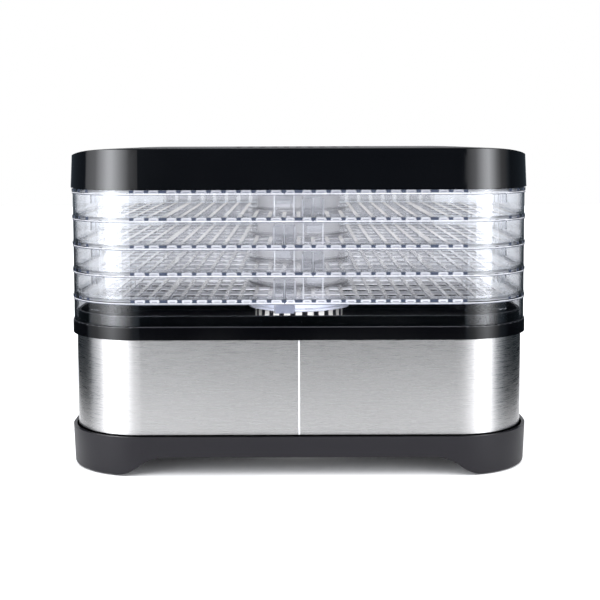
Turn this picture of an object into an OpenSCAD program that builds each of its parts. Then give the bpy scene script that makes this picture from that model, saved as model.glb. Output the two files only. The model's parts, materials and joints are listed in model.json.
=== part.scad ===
// Stacking food dehydrator: a heated fan base, five clear trays and a lid.
// X is the width, Y the depth with the controls on +Y, Z is up.
// The origin is on the floor under the middle of the base.

/* [Overall] */
// Width over the foot ring
body_w = 400; // [380:1:440]
// Depth over the foot ring
body_d = 254; // [240:1:280]
// Corner radius of the foot ring
corner_r = 67; // [60:1:75]

/* [Base pan] */
// Height of the foot ring's top edge above the floor
ring_top = 33.9; // [32:0.1:38]
// Thickness of the foot ring's wall
ring_wall = 2.2; // [1.8:0.1:2.6]
// How far the ring's foot is drawn in under its top edge
ring_taper = 1.3; // [0.5:0.1:2]
// Height of the arches under the base
arch_h = 16.6; // [13:0.1:18]
// Length of the flat of the front and back arches
arch_flat_w = 226; // [215:1:228]
// Length of the flat of the side arches
arch_flat_d = 40; // [20:1:44]
// Length of an arch's curved end
arch_run = 45; // [40:1:46]
// Thickness of the pan's floor
pan_t = 2.5; // [2:0.1:3]
// Diameter of a rubber foot
foot_d = 22; // [16:1:24]
// How far the rubber feet stand out of the pan
foot_out = 0.5; // [0.4:0.1:1]

/* [Steel wrap] */
// Distance of the steel inside the foot ring's outline
steel_inset = 4.5; // [4.2:0.1:5]
// Thickness of the steel sheet
steel_t = 0.6; // [0.5:0.1:0.7]
// Width of the upright seam at the back
seam_w = 1.6; // [1.2:0.1:3]

/* [Deck] */
// Distance of the band inside the foot ring's outline
band_inset = 1; // [0.8:0.1:1.2]
// Height of the band's lower edge above the floor
band_bottom = 115.7; // [112:0.1:120]
// Height of the band itself
band_h = 11.2; // [10:0.1:14]
// Wall of the deck moulding
deck_t = 2.5; // [2:0.1:2.6]
// Height of the tub's wall above the band
tub_rise = 8.9; // [6:0.1:9.2]
// Depth of the tub's floor below the band's top
tub_sink = 20.4; // [18:0.1:24]
// Radius of the cove between the tub's wall and floor
cove_r = 14; // [8:1:15]

/* [Air outlet] */
// Outer radius of the outlet turret's bars
turret_r = 41; // [38:0.5:44]
// Number of bars in the turret
turret_bars = 24; // [12:1:28]
// Radius of the hole that the warm air rises through
air_hole_r = 34; // [30:1:35]

/* [Trays] */
// Height that each tray adds to the stack
tray_h = 22.8; // [22:0.1:26]
// Distance of a tray's skirt inside the foot ring's outline
tray_inset = 2; // [1.8:0.1:2.1]
// Thickness of a tray's skirt
tray_wall = 1.8; // [1.6:0.1:2]
// Height of a tray's rim
rim_h = 4.4; // [4:0.1:5]
// How far the rim stands out of the skirt
rim_out = 0.6; // [0.3:0.1:0.7]
// Height of the lip that locates the next tray
lip_h = 2.5; // [1.5:0.1:2.6]
// Width of the rim's notches
notch_w = 3.6; // [2.5:0.1:5]
// Height of the rim's notches
notch_h = 2.6; // [2:0.1:2.8]
// Distance between neighbouring ribs of the floor
rib_pitch = 12.4; // [11.8:0.1:12.6]
// Width of a floor rib
rib_w = 3.4; // [2.5:0.1:4.5]
// Width of the doubled ribs
wide_rib_w = 6.3; // [5:0.1:7]
// Thickness of the lattice floor
floor_t = 2.4; // [2:0.1:2.6]
// Distance between neighbouring rows of openings in the floor
row_pitch = 36; // [33:0.5:37]
// Width of the bars between the rows
bar_w = 9; // [6:0.5:12]
// Width of a tongue
tongue_w = 18.8; // [16:0.1:20]
// Thickness of a tongue
tongue_t = 1.8; // [1.4:0.1:2]
// Radius of the flange under a tray's hub
hub_flange_r = 46.7; // [46.5:0.1:50]
// Outer radius of the hub's tube
hub_r = 38; // [36:0.5:40]
// Number of air slots round a hub
hub_slots = 24; // [12:1:28]

/* [Lid] */
// Height of the lid's wall
lid_h = 34; // [32:0.1:45]
// Distance of the lid's lower edge inside the foot ring's outline
lid_inset = 0.5; // [0.4:0.1:0.7]
// How far the lid's wall leans in
lid_lean = 1.5; // [0.8:0.1:1.6]
// Thickness of the lid
lid_wall = 2.5; // [2:0.1:2.6]
// Fall of the lid's top at its ends
crown_h = 7; // [4:0.5:8]
// Distance in which the lid's top makes most of that fall
crown_run = 16.5; // [12:0.5:20]
// Depth of the finger scoops at the ends
scoop_h = 2.3; // [1.5:0.1:3]

/* [Fan and heater] */
// Outer radius of the air duct
duct_r = 66; // [64:0.5:68]
// Wall of the air duct
duct_t = 2; // [1.6:0.1:3]
// Running gap between the blade tips and the duct
fan_gap = 4; // [3:0.5:8]
// Number of impeller blades
fan_blades = 7; // [5:1:9]
// Radius of the motor shaft
shaft_r = 2.5; // [2:0.1:3]
// Radius of the motor's can
motor_r = 26; // [22:0.5:28]
// Height of the motor's can
motor_h = 30; // [24:0.5:31]

/* [Controls] */
// Distance from the controls to the ends of the bezel
bezel_pad = 11; // [10.5:0.5:16]
// Height of the control bezel
bezel_h = 44; // [38:1:48]
// Thickness of the bezel's face
bezel_t = 2.2; // [1.8:0.1:2.2]
// Diameter of a button's cap
button_d = 11; // [9:0.1:11.5]
// Distance between neighbouring buttons
button_pitch = 14.5; // [14.2:0.1:17]
// Width of the display window
window_w = 46; // [38:0.5:48]
// Height of the display window
window_h = 17; // [12:0.5:20]

/* [Fits] */
// Gap between parts that nest and lift apart
nest_gap = 0.4; // [0.3:0.05:0.5]
// Gap round a part that slides in a hole
slide_gap = 0.3; // [0.2:0.05:0.4]
// Gap round the shaft in its bearing
bearing_gap = 0.06; // [0.03:0.01:0.1]

/* [Hidden] */
$fn = 96;

// Reach of a cut past the face that it opens
past = 1;

// Levels from the floor up
pan_floor = arch_h + pan_t;
band_top = band_bottom + band_h;
tub_floor = band_top - tub_sink;
tub_top = band_top + tub_rise;
stack_top = band_top + 5 * tray_h;
lid_gap = 0.7;
lid_bottom = stack_top + lid_gap;
lid_top = lid_bottom + lid_h;

// Insets of nested walls from the foot ring's outline
tub_inset = steel_inset + steel_t + slide_gap;
lip_inset = tray_inset + tray_wall + nest_gap;
lip_t = 1.8;
ledge_inset = lip_inset + lip_t + 4;
floor_inset = lip_inset + lip_t + slide_gap;
tongue_inset = lip_inset + 0.2;

// Middle of the control panel, and the plane of the steel's front face
panel_z = (ring_top + band_bottom) / 2;
face_y = body_d / 2 - steel_inset;

// ---------- outlines shared by all the shells ----------

function half_w(inset) = body_w / 2 - inset;
function half_d(inset) = body_d / 2 - inset;
function corner(inset) = corner_r - inset;

// Plan outline of the body, drawn in by inset all round
module plan(inset) {
    r = corner(inset);
    square([2 * half_w(inset), 2 * (half_d(inset) - r)], center = true);
    square([2 * (half_w(inset) - r), 2 * half_d(inset)], center = true);
    for (sx = [-1, 1], sy = [-1, 1])
        translate([sx * (half_w(inset) - r), sy * (half_d(inset) - r)]) circle(r);
}

module slab(inset, z0, z1) {
    translate([0, 0, z0]) linear_extrude(z1 - z0) plan(inset);
}

module wall(inset, t, z0, z1) {
    translate([0, 0, z0]) linear_extrude(z1 - z0)
        difference() {
            plan(inset);
            plan(inset + t);
        }
}

// Carries a profile round the outline: its x is measured outwards from the outline, its y is up
module sweep(inset) {
    r = corner(inset);
    cx = half_w(inset) - r;
    cy = half_d(inset) - r;
    for (mx = [0, 1], my = [0, 1])
        mirror([mx, 0, 0]) mirror([0, my, 0]) translate([cx, cy, 0])
            rotate_extrude(angle = 90) translate([r, 0]) children();
    for (turn = [0, 1]) rotate(180 * turn) {
        translate([-cx, cy + r, 0]) rotate([90, 0, 90]) linear_extrude(2 * cx) children();
        translate([cx + r, cy, 0]) rotate([90, 0, 0]) linear_extrude(2 * cy) children();
    }
}

// Points of a quarter arc from one axis direction to the next, about [x, y]
ARC_STEPS = 6;
function arc(x, y, r, from, to) =
    [
        for (i = [0:ARC_STEPS])
            let (a = from + (to - from) * i / ARC_STEPS)
            [x + r * cos(a), y + r * sin(a)]
    ];

// Puts children at both ends of the width and depth
module four_corners(x, y) {
    for (sx = [-1, 1], sy = [-1, 1]) translate([sx * x, sy * y, 0]) children();
}

module ring(r_out, r_in, z0, z1) {
    translate([0, 0, z0]) linear_extrude(z1 - z0)
        difference() {
            circle(r_out);
            circle(r_in);
        }
}

// Upright bars round a circle, from z0 to z1
module fins(r_out, depth, count, width, z0, z1) {
    for (i = [0:count - 1]) rotate(360 * i / count)
        translate([r_out - depth, -width / 2, z0]) cube([depth, width, z1 - z0]);
}

// Rounded bar along +Y from y0 to y1, drawn on the XZ plane
module plate_y(w, h, r, y0, y1) {
    translate([0, y1, 0]) rotate([90, 0, 0]) linear_extrude(y1 - y0) {
        square([w - 2 * r, h], center = true);
        square([w, h - 2 * r], center = true);
        for (sx = [-1, 1], sz = [-1, 1])
            translate([sx * (w / 2 - r), sz * (h / 2 - r)]) circle(r);
    }
}

module rod_y(r, y0, y1) {
    translate([0, y1, 0]) rotate([90, 0, 0]) cylinder(r = r, h = y1 - y0);
}

// ---------- base pan ----------

S_STEPS = 7;
pan_bottom = foot_out;

// One S-shaped end of an arch: two equal arcs that start and end level
function s_end(x, run, h) =
    let (r = (run * run + h * h) / (4 * h), sweep_a = asin(run / (2 * r)))
    concat(
        [for (i = [0:S_STEPS]) let (a = sweep_a * i / S_STEPS) [x + r * sin(a), h - r * (1 - cos(a))]],
        [
            for (i = [S_STEPS - 1:-1:0])
                let (a = sweep_a * i / S_STEPS)
                [x + run - r * sin(a), r * (1 - cos(a))]
        ]
    );

module arch_profile(flat, z) {
    right = s_end(flat / 2, arch_run, arch_h - pan_bottom);
    last = len(right) - 1;
    deep = arch_h + past;
    translate([0, z]) polygon(concat(
        right,
        [[right[last][0], -deep], [-right[last][0], -deep]],
        [for (i = [last:-1:0]) [-right[i][0], right[i][1]]]
    ));
}

// The space under both pairs of arches, its foot at z and its ends moved out by grow
module arches(z, grow) {
    rotate([90, 0, 0]) linear_extrude(body_d + 2 * past, center = true)
        arch_profile(arch_flat_w + 2 * grow, z);
    rotate([90, 0, 90]) linear_extrude(body_w + 2 * past, center = true)
        arch_profile(arch_flat_d + 2 * grow, z);
}

ring_round = 2;
post_r = 5.5;
post_x = 105;
post_y = 85;
pan_post_top = 26;
grille_hole_r = 60;
board_x = -146;
board_post_x = 22;
board_post_y = 36;
board_post_top = 27.5;
foot_edge = 35;
foot_x = half_w(0) - foot_edge;
foot_y = half_d(0) - foot_edge;
gland_x = 75;
gland_y = -foot_y;
gland_r = 6;
foot_sink = 1.2;
foot_gap = 0.1;
gland_gap = 0.05;
screw_head_r = 3.6;
screw_head_h = 2.4;
screw_r = 1.6;
pilot_r = 1.7;
board_post_r = 3.5;
board_pilot_h = 8;
screw_seat = 0.9;
pan_screw_grip = 12;

module ring_solid() {
    inner = ring_taper + ring_round + past;
    sweep(0) polygon(concat(
        [[-inner, ring_top], [0, ring_top]],
        arc(-ring_taper - ring_round, pan_bottom + ring_round, ring_round, 0, -90),
        [[-inner, pan_bottom]]
    ));
    slab(ring_taper + ring_round, pan_bottom, ring_top);
}

module pan_posts() {
    four_corners(post_x, post_y) cylinder(r = post_r, h = pan_post_top);
    translate([board_x, 0, 0]) four_corners(board_post_x, board_post_y)
        cylinder(r = board_post_r, h = board_post_top);
}

module base_pan() color("#3a383e") difference() {
    union() {
        difference() {
            ring_solid();
            arches(pan_bottom, 0);
            difference() {
                slab(ring_wall + ring_taper / 2, pan_bottom + pan_t, ring_top + past);
                arches(pan_bottom + pan_t, 1);
            }
        }
        difference() {
            pan_posts();
            arches(pan_bottom, 0);
            cube([2 * body_w, 2 * body_d, 2 * pan_bottom], center = true);
        }
    }
    translate([0, 0, arch_h - past]) cylinder(r = grille_hole_r, h = pan_t + 2 * past);
    four_corners(post_x, post_y) {
        cylinder(r = screw_head_r + slide_gap, h = pan_floor + screw_seat);
        cylinder(r = screw_r + slide_gap, h = pan_post_top + past);
    }
    translate([board_x, 0, board_post_top - board_pilot_h]) four_corners(board_post_x, board_post_y)
        cylinder(r = pilot_r, h = board_pilot_h + past);
    translate([gland_x, gland_y, arch_h - past]) cylinder(r = gland_r + gland_gap, h = pan_t + 2 * past);
    four_corners(foot_x, foot_y) cylinder(d = foot_d + 2 * foot_gap, h = pan_bottom + foot_sink);
}

foot_round = 0.6;

module rubber_feet() color("#1c1c1e") four_corners(foot_x, foot_y)
    rotate_extrude() polygon(concat(
        [[0, 0]],
        arc(foot_d / 2 - foot_round, foot_round, foot_round, -90, 0),
        [[foot_d / 2, pan_bottom + foot_sink], [0, pan_bottom + foot_sink]]
    ));

grille_t = 2;
grille_edge = 6;
grille_bar = 2;
grille_pitch = 11;
grille_hub_r = 15;
grille_spokes = 6;
grille_top = pan_floor + grille_t;

module intake_grille() color("#26262a") {
    for (r = [grille_hub_r + grille_pitch - 1:grille_pitch:grille_hole_r - grille_bar])
        ring(r + grille_bar, r, pan_floor, grille_top);
    ring(grille_hole_r + grille_edge, grille_hole_r - grille_bar, pan_floor, grille_top);
    for (i = [0:grille_spokes - 1]) rotate(360 * i / grille_spokes)
        translate([grille_hub_r - 1, -grille_bar / 2, pan_floor])
            cube([grille_hole_r - grille_hub_r, grille_bar, grille_t]);
    translate([0, 0, pan_floor]) cylinder(r = grille_hub_r, h = grille_t);
}

module pan_screws() color("#b8b8bc") four_corners(post_x, post_y) {
    head_z = pan_floor + screw_seat;
    translate([0, 0, head_z - screw_head_h]) cylinder(r = screw_head_r, h = screw_head_h);
    translate([0, 0, head_z - past]) cylinder(r = screw_r, h = pan_post_top + pan_screw_grip - head_z + past);
}

// ---------- steel wrap ----------

bezel_lap = 3.5;
button_rim = 1.4;
button_flange_r = button_d / 2 + button_rim;
lens_rim = 2;
control_gap = 6.2;
bezel_w = 2 * bezel_pad + 4 * button_pitch + 2 * button_flange_r + control_gap + window_w + 2 * lens_rim;
spigot_w = bezel_w - 2 * bezel_lap;
spigot_h = bezel_h - 2 * bezel_lap;

module steel_wrap() color("#c4c4c6") difference() {
    wall(steel_inset, steel_t, pan_floor, band_top - deck_t);
    translate([0, -face_y, (pan_floor + band_top) / 2])
        cube([seam_w, 4 * steel_t + 2 * past, band_h + band_bottom], center = true);
    translate([0, 0, panel_z])
        plate_y(spigot_w + 2 * slide_gap, spigot_h + 2 * slide_gap, spigot_r,
            face_y - 2 * past, face_y + past);
}

// Bright joint cover: a tongue in the seam with a wider web behind the sheet
module seam_strip() color("#f0f0f2") {
    strip_h = band_top - deck_t - pan_floor;
    side_gap = 0.1;
    proud = 0.15;
    web_w = 12;
    web_t = 0.8;
    translate([-seam_w / 2 + side_gap, -face_y - proud, pan_floor])
        cube([seam_w - 2 * side_gap, steel_t + proud, strip_h]);
    translate([-web_w / 2, -face_y + steel_t, pan_floor]) cube([web_w, web_t, strip_h - band_h]);
}

// ---------- deck ----------

edge_r = 0.8;

// Section of band, ledge, tub wall and cove, outwards from the band's outline
function deck_section() =
    let (
        wall_x = band_inset - tub_inset,
        cove_x = wall_x - deck_t - cove_r,
        cove_z = tub_floor + cove_r
    )
    concat(
        [[0, band_bottom]],
        arc(-edge_r, band_top - edge_r, edge_r, 0, 90),
        [[wall_x, band_top]],
        arc(wall_x - edge_r, tub_top - edge_r, edge_r, 0, 90),
        arc(wall_x - deck_t + edge_r, tub_top - edge_r, edge_r, 90, 180),
        arc(cove_x, cove_z, cove_r, 0, -90),
        [[cove_x - deck_t, tub_floor], [cove_x - deck_t, tub_floor - deck_t]],
        arc(cove_x, cove_z, cove_r + deck_t, -90, 0),
        [[wall_x, band_top - deck_t], [-deck_t, band_top - deck_t], [-deck_t, band_bottom]]
    );

duct_flange_w = 8;
duct_flange_r = duct_r + duct_flange_w;
duct_screw_at = duct_r + duct_flange_w / 2;
deck_blind = 1.9;
sensor_at = 26;

module deck() color("#0c0c0e") difference() {
    union() {
        sweep(band_inset) polygon(deck_section());
        slab(tub_inset + deck_t + cove_r + deck_t / 2, tub_floor - deck_t, tub_floor);
        four_corners(post_x, post_y) translate([0, 0, pan_post_top])
            cylinder(r = post_r, h = tub_floor - deck_t - pan_post_top + 0.5);
    }
    translate([0, 0, tub_floor - deck_t - past]) cylinder(r = air_hole_r, h = deck_t + 2 * past);
    four_corners(post_x, post_y) translate([0, 0, pan_post_top - past])
        cylinder(r = pilot_r, h = pan_screw_grip + 2 + past);
    for (i = [0:3]) rotate(45 + 90 * i) translate([duct_screw_at, 0, tub_floor - deck_t - past])
        cylinder(r = pilot_r, h = deck_blind + past);
}

turret_h = 20.8;
turret_top = tub_floor + turret_h;

module outlet_turret() color("#e6e5df") {
    bar_depth = 4;
    bar_share = 0.56;
    cap_t = 1.8;
    flange_t = 2;
    ring(turret_r + bar_depth, air_hole_r, tub_floor, tub_floor + flange_t);
    fins(turret_r, bar_depth, turret_bars, 2 * PI * turret_r / turret_bars * bar_share,
        tub_floor + flange_t, turret_top - cap_t);
    ring(turret_r, turret_r - bar_depth - 2, turret_top - cap_t, turret_top);
}

// ---------- duct, heater, motor and fan ----------

fan_r = duct_r - duct_t - fan_gap;
duct_bottom = 60;
duct_top = tub_floor - deck_t;
duct_flange_t = 2.5;
lug_z = 82;
lug_t = 2;
lug_w = 6;
lug_reach = 7;
screw_top_r = 2.8;

module air_duct() color("#2a2a2c") difference() {
    union() {
        ring(duct_r, duct_r - duct_t, duct_bottom, duct_top);
        ring(duct_flange_r, duct_r - duct_t, duct_top - duct_flange_t, duct_top);
        for (i = [0:3]) rotate(90 * i) translate([duct_r - duct_t / 2 - lug_reach, -lug_w / 2, lug_z])
            cube([lug_reach, lug_w, lug_t]);
    }
    for (i = [0:3]) rotate(45 + 90 * i) translate([duct_screw_at, 0, duct_top - duct_flange_t - past])
        cylinder(r = screw_r + slide_gap, h = duct_flange_t + 2 * past);
}

module duct_screws() color("#b8b8bc") for (i = [0:3]) rotate(45 + 90 * i)
    translate([duct_screw_at, 0, duct_top - duct_flange_t]) {
        translate([0, 0, -screw_head_h]) cylinder(r = screw_head_r, h = screw_head_h);
        translate([0, 0, -screw_head_h / 2])
            cylinder(r = screw_r, h = screw_head_h / 2 + duct_flange_t + deck_blind - slide_gap);
    }

coil_r = 24;
coil_pitch = 14;
coils = 3;
wire_r = 0.9;
card_t = 1.2;
card_h = 14;
card_z = lug_z + lug_t;
card_gap = 0.5;
coil_z = card_z + card_h / 2;
fuse_r = 2;
fuse_l = 11;
sensor_r = 2;
sensor_h = 5;

// Rings of round wire threaded through the cards
module coil_rings(grow) {
    for (i = [0:coils - 1]) translate([0, 0, coil_z])
        rotate_extrude() translate([coil_r + i * coil_pitch, 0]) circle(wire_r + grow);
}

module heater_frame() color("#d8cfb4") difference() {
    card_reach = duct_r - duct_t - card_gap;
    for (i = [0:1]) rotate(90 * i) translate([-card_reach, -card_t / 2, card_z])
        cube([2 * card_reach, card_t, card_h]);
    coil_rings(bearing_gap);
}

module heater_coil() color("#9a8f86") coil_rings(0);

module thermal_fuse() color("#d9d2c0") translate([coil_r / 3, card_t / 2, card_z + card_h - 5]) {
    translate([0, fuse_r + 0.2, 0]) rotate([0, 90, 0]) cylinder(r = fuse_r, h = fuse_l);
    translate([fuse_r, 0, -fuse_r / 2]) cube([fuse_l - 2 * fuse_r, fuse_r / 2, fuse_r]);
}

module temperature_sensor() color("#3b6b52") translate([sensor_at, 0, card_z + card_h]) {
    cylinder(r = sensor_r, h = sensor_h);
    translate([0, 0, sensor_h]) sphere(r = sensor_r);
}

plate_t = 2;
bracket_z = duct_bottom - plate_t;
motor_top = bracket_z;
motor_bore_h = motor_h / 2;
motor_screw_at = motor_r * 0.6;
motor_screw_l = 7;
bracket_rim = 6;
arm_w = 12;

module motor_bracket() color("#a9abae") difference() {
    union() {
        ring(duct_r, duct_r - bracket_rim, bracket_z, duct_bottom);
        translate([0, 0, bracket_z]) cylinder(r = motor_r, h = plate_t);
        for (i = [0:2]) rotate(120 * i) translate([motor_r - plate_t, -arm_w / 2, bracket_z])
            cube([duct_r - bracket_rim / 2 - motor_r, arm_w, plate_t]);
    }
    translate([0, 0, bracket_z - past]) cylinder(r = shaft_r + 1.5, h = plate_t + 2 * past);
    for (i = [0:3]) rotate(90 * i) translate([motor_screw_at, 0, bracket_z - past])
        cylinder(r = screw_r + slide_gap, h = plate_t + 2 * past);
}

tail_r = 8;
tail_h = 1.5;
coil_case = [10, 18, 12];

module motor() color("#8d8f94") difference() {
    union() {
        translate([0, 0, motor_top - motor_h]) cylinder(r = motor_r, h = motor_h);
        translate([-motor_r - coil_case.x / 2, -coil_case.y / 2, motor_top - (motor_h + coil_case.z) / 2])
            cube(coil_case);
        translate([0, 0, motor_top - motor_h - tail_h]) cylinder(r = tail_r, h = tail_h + past);
    }
    translate([0, 0, motor_top - motor_bore_h])
        cylinder(r = shaft_r + bearing_gap, h = motor_bore_h + past);
    for (i = [0:3]) rotate(90 * i) translate([motor_screw_at, 0, motor_top - motor_screw_l - 1])
        cylinder(r = pilot_r, h = motor_screw_l + 1 + past);
}

module motor_screws() color("#b8b8bc") for (i = [0:3]) rotate(90 * i)
    translate([motor_screw_at, 0, bracket_z - motor_screw_l]) {
        cylinder(r = screw_r, h = motor_screw_l + plate_t);
        translate([0, 0, motor_screw_l + plate_t]) cylinder(r = screw_top_r, h = screw_r);
    }

fan_z = duct_bottom + 4;
fan_hub_h = 16;
fan_hub_r = 13;
blade_t = 1.6;
blade_l = 24;
blade_tilt = 32;
hub_cap_t = 1;

module motor_shaft() color("#d0d2d6") translate([0, 0, motor_top - motor_bore_h])
    cylinder(r = shaft_r, h = fan_z + fan_hub_h - hub_cap_t - motor_top + motor_bore_h);

module fan_impeller() color("#e8e8e4") difference() {
    union() {
        translate([0, 0, fan_z]) cylinder(r = fan_hub_r, h = fan_hub_h);
        intersection() {
            for (i = [0:fan_blades - 1]) rotate(360 * i / fan_blades)
                translate([fan_hub_r - 3, 0, fan_z + fan_hub_h / 2]) rotate([blade_tilt, 0, 0])
                    translate([0, -blade_l / 2, -blade_t / 2]) cube([fan_r, blade_l, blade_t]);
            ring(fan_r, 1, fan_z, fan_z + fan_hub_h);
        }
    }
    translate([0, 0, fan_z - past]) cylinder(r = shaft_r, h = fan_hub_h - hub_cap_t + past);
}

// ---------- electrics ----------

board_t = 1.6;
board_top = board_post_top + board_t;
board_screw_grip = 6;
board_rim_x = 6;
board_rim_y = 9;
board_w = 2 * (board_post_x + board_rim_x);
board_d = 2 * (board_post_y + board_rim_y);
relay_size = [19, 16, 15.5];
relay_up = 8;
capacitor_r = 8;
capacitor_h = 25;
capacitor_in = 10;
core_size = [30, 22, 3];
winding_size = [26, 18, 16];
block_size = [26, 13, 12];
block_ways = 3;
block_pitch = 8;
block_hole_r = 2;
block_floor_t = 4;
block_up = 40;

module power_board() color("#1f5b3a") difference() {
    translate([board_x - board_w / 2, -board_d / 2, board_post_top]) cube([board_w, board_d, board_t]);
    translate([board_x, 0, board_post_top - past]) four_corners(board_post_x, board_post_y)
        cylinder(r = screw_r + slide_gap, h = board_t + 2 * past);
}

module relay() color("#20467a")
    translate([board_x - board_post_x, relay_up - board_post_y, board_top]) cube(relay_size);

module capacitor() color("#2c2c30")
    translate([board_x + board_post_x - capacitor_in, -board_post_y / 2, board_top])
        cylinder(r = capacitor_r, h = capacitor_h);

module transformer() color("#c9a23a") translate([board_x, board_post_y - board_post_x, board_top]) {
    translate([-core_size.x / 2, -core_size.y / 2, 0]) cube(core_size);
    translate([-winding_size.x / 2, -winding_size.y / 2, core_size.z]) cube(winding_size);
}

module board_screws() color("#b8b8bc") translate([board_x, 0, board_top])
    four_corners(board_post_x, board_post_y) {
        translate([0, 0, -board_t - board_screw_grip])
            cylinder(r = screw_r, h = board_screw_grip + board_t);
        cylinder(r = screw_top_r, h = screw_r);
    }

module terminal_block() color("#e9e6da")
    translate([post_x + post_r + past, gland_y + block_up, pan_floor]) difference() {
        cube(block_size);
        for (i = [0:block_ways - 1])
            translate([block_size.x / 2 + (i - 1) * block_pitch, block_size.y / 2, block_floor_t])
                cylinder(r = block_hole_r, h = block_size.z);
    }

gland_bore_r = 3.6;
gland_rim_t = 1.8;
gland_nut_t = 4;
gland_rim = 2.8;
gland_h = pan_t + gland_nut_t + 2;

module cable_gland() color("#18181a") translate([gland_x, gland_y, 0]) difference() {
    union() {
        translate([0, 0, arch_h - gland_rim_t]) cylinder(r = gland_r + gland_rim, h = gland_rim_t);
        translate([0, 0, arch_h - past]) cylinder(r = gland_r, h = gland_h + past);
        translate([0, 0, pan_floor]) cylinder(r = gland_r + gland_rim, h = gland_nut_t, $fn = 6);
    }
    translate([0, 0, arch_h - gland_rim_t - past])
        cylinder(r = gland_bore_r, h = gland_rim_t + gland_h + 2 * past);
}

// ---------- control panel ----------

bezel_y = face_y + bezel_t;
bezel_r = 8;
display_x = bezel_w / 2 - bezel_pad - lens_rim - window_w / 2;
button_x0 = 4 * button_pitch + button_flange_r + bezel_pad - bezel_w / 2;
spigot_t = 2;
spigot_r = 6;
spigot_depth = 12;
spigot_y = face_y - spigot_depth;
board_gap = 5;
board_y = spigot_y - board_gap;
boss_r = 3;
boss_pilot_r = 1.2;
boss_depth = 8;
boss_x = spigot_w / 2 - 2 * boss_r;
boss_z = spigot_h / 2 - 2 * boss_r;
button_rim_t = 1.5;
button_proud = 1.2;
switch_w = 6;
switch_t = 3.4;
switch_knob_r = 1.7;
plunger_y = board_y + switch_t + button_proud;
join = 0.2;

module at_buttons() {
    for (i = [0:4]) translate([button_x0 - button_pitch * i, 0, panel_z]) children();
}

module at_bosses() {
    for (sx = [-1, 1], sz = [-1, 1]) translate([sx * boss_x, 0, panel_z + sz * boss_z]) children();
}

module control_bezel() color("#101013") difference() {
    union() {
        translate([0, 0, panel_z]) plate_y(bezel_w, bezel_h, bezel_r, face_y, bezel_y);
        translate([0, 0, panel_z]) difference() {
            plate_y(spigot_w, spigot_h, spigot_r, spigot_y, face_y + join);
            plate_y(spigot_w - 2 * spigot_t, spigot_h - 2 * spigot_t, spigot_r - spigot_t,
                spigot_y - past, face_y);
        }
        at_bosses() rod_y(boss_r, board_y, face_y + join);
    }
    at_bosses() rod_y(boss_pilot_r, board_y - past, board_y + boss_depth);
    at_buttons() rod_y(button_d / 2 + slide_gap, face_y - past, bezel_y + past);
    translate([display_x, 0, panel_z]) plate_y(window_w, window_h, lens_r, face_y - past, bezel_y + past);
}

lens_r = 2;
lens_gap = 0.1;
lens_rim_t = 1.2;

module display_lens() color("#23262c") translate([display_x, 0, panel_z]) {
    plate_y(window_w - 2 * lens_gap, window_h - 2 * lens_gap, lens_r - lens_gap,
        face_y - past, bezel_y - join);
    plate_y(window_w + 2 * lens_rim, window_h + 2 * lens_rim, lens_r,
        face_y - lens_rim_t, face_y);
}

module display_module() color("#1a1a1c")
    translate([display_x - window_w / 2 + 3, board_y, panel_z - window_h / 2 + 1.5])
        cube([window_w - 6, spigot_depth, window_h - 3]);

module control_board() color("#1f5b3a") difference() {
    translate([0, 0, panel_z])
        plate_y(spigot_w - spigot_t, spigot_h, spigot_r / 2, board_y - board_t, board_y);
    at_bosses() rod_y(boss_pilot_r + join, board_y - board_t - past, board_y + past);
}

module control_screws() color("#b8b8bc") at_bosses() {
    rod_y(boss_pilot_r - 0.1, board_y - board_t - join, board_y + boss_depth - 2);
    rod_y(2.2, board_y - 2 * board_t, board_y - board_t);
}

module tact_switches() color("#4a4a4e") at_buttons() {
    translate([-switch_w / 2, board_y, -switch_w / 2]) cube([switch_w, switch_t, switch_w]);
    rod_y(switch_knob_r, board_y + switch_t - join, plunger_y);
}

// One push button: cap, retaining flange against the back of the face, and stem
module button(i, colour) color(colour) translate([button_x0 - button_pitch * i, 0, panel_z]) {
    rod_y(button_d / 2, face_y - button_rim_t, bezel_y + button_proud);
    rod_y(button_flange_r, face_y - button_rim_t, face_y);
    rod_y(2, plunger_y + 1.2, face_y - past);
}

module button_power() button(0, "#d8d8da");
module button_start() button(1, "#d8d8da");
module button_mode() button(2, "#d8d8da");
module button_up() button(3, "#d8d8da");
module button_down() button(4, "#d8d8da");

// ---------- trays ----------

// Rib centres on one side of the middle, with a doubled rib at the middle and after the ninth pitch
WIDE_RIB = 9;
wide_shift = 2;
function rib_x(i) = i * rib_pitch + (i > WIDE_RIB ? wide_shift : i == WIDE_RIB ? wide_shift / 2 : 0);
function rib_width(i) = i == 0 || i == WIDE_RIB ? wide_rib_w : rib_w;
RIBS = 14;
ROWS = 3;
NOTCHES = 11;
SIDE_NOTCHES = 4;

// Whether a point lies inside the outline drawn in by inset
function in_plan(x, y, inset) =
    let (
        cx = half_w(inset) - corner(inset),
        cy = half_d(inset) - corner(inset)
    )
    x <= half_w(inset) && y <= half_d(inset)
    && (x <= cx || y <= cy || norm([x - cx, y - cy]) <= corner(inset));

hub_hole_r = hub_r + 6;
hub_lap = 2.5;
hub_gap = 0.2;
tongue_x = 2.5 + tongue_w / 2;
tongue_rise = tray_h - rim_h - 0.8;
tab_drop = 7.5;
guide_t = 0.8;
guide_z = 3.6;
bead_w = 1.2;
bead_sink = 0.2;
peg_w = 7.7;
peg_h = 7.5;
peg_wall = 1.4;
peg_at = corner(ledge_inset) - 3;

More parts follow.
